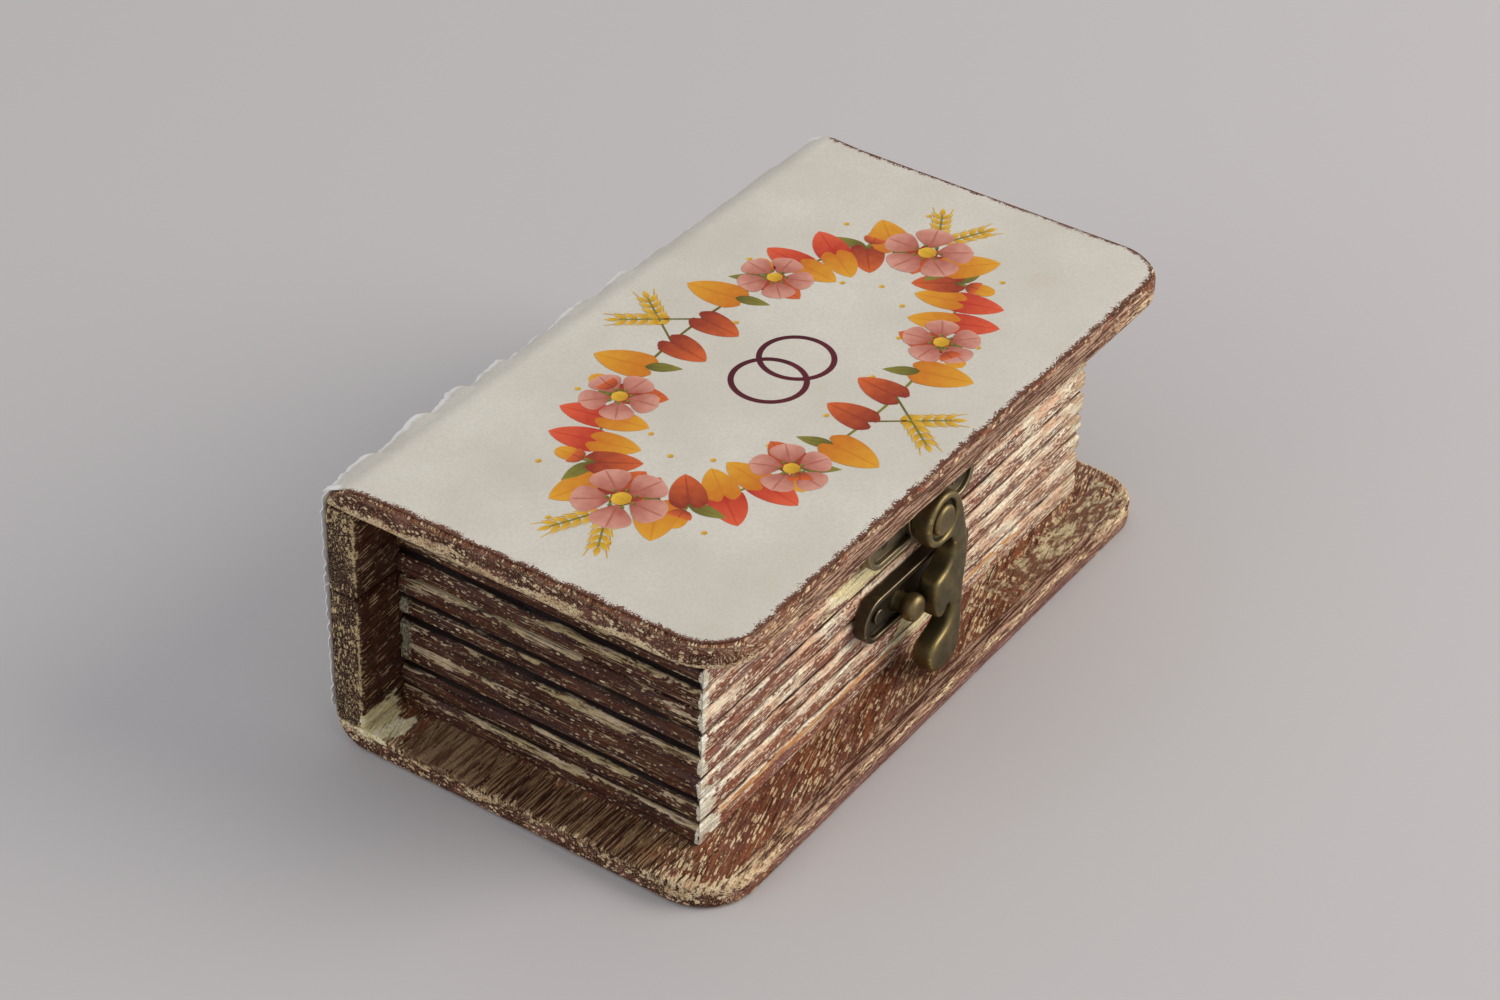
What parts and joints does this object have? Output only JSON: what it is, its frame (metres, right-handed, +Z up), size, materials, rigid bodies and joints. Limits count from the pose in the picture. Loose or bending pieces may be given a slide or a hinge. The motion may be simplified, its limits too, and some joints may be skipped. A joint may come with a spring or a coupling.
{
  "type": "book-shaped keepsake box",
  "caption": "Small wooden keepsake box in the shape of a closed book, with a hinged lid, grooved page edges, paper-covered top and a brass swing-hook clasp.",
  "frame": {"origin": "below the middle of the whole box, on the surface it stands on", "axes": "+X along the spine, to the right as seen from the clasp; -Y towards the clasp; +Z up, through the covers"},
  "size_m": [0.11, 0.0643, 0.0423],
  "materials": {
    "distressed_wood": "matte",
    "cover_paper": "matte",
    "aged_brass": "satin",
    "hinge_brass": "satin"
  },
  "bodies": {
    "base": {"bottom_cover": "distressed_wood", "base_spine": "distressed_wood", "base_front_pages": "distressed_wood", "base_left_pages": "distressed_wood", "base_right_pages": "distressed_wood", "spine_paper": "cover_paper", "base_hinge_leaf_left": "hinge_brass", "base_hinge_leaf_right": "hinge_brass", "hinge_pin_left": "hinge_brass", "hinge_pin_right": "hinge_brass", "base_hinge_screws": "hinge_brass", "catch_plate": "aged_brass", "catch_peg": "aged_brass", "catch_nails": "aged_brass"},
    "lid": {"top_cover": "distressed_wood", "lid_spine": "distressed_wood", "lid_front_pages": "distressed_wood", "lid_left_pages": "distressed_wood", "lid_right_pages": "distressed_wood", "cover_paper": "cover_paper", "lid_hinge_leaf_left": "hinge_brass", "lid_hinge_leaf_right": "hinge_brass", "lid_hinge_screws": "hinge_brass", "hasp_plate": "aged_brass", "hasp_nails": "aged_brass", "pivot_rivet": "aged_brass"},
    "hook": {"swing_hook": "aged_brass"}
  },
  "joints": [
    {"name": "lid_hinge", "type": "hinge", "parent": "base", "child": "lid", "pos_m": [0, 0.03075, 0.02505], "axis": [-1, 0, 0], "range_deg": [0, 180]},
    {"name": "hook_swing", "type": "hinge", "parent": "lid", "child": "hook", "pos_m": [0, -0.02765, 0.029], "axis": [0, -1, 0], "range_deg": [0, 90]}
  ]
}
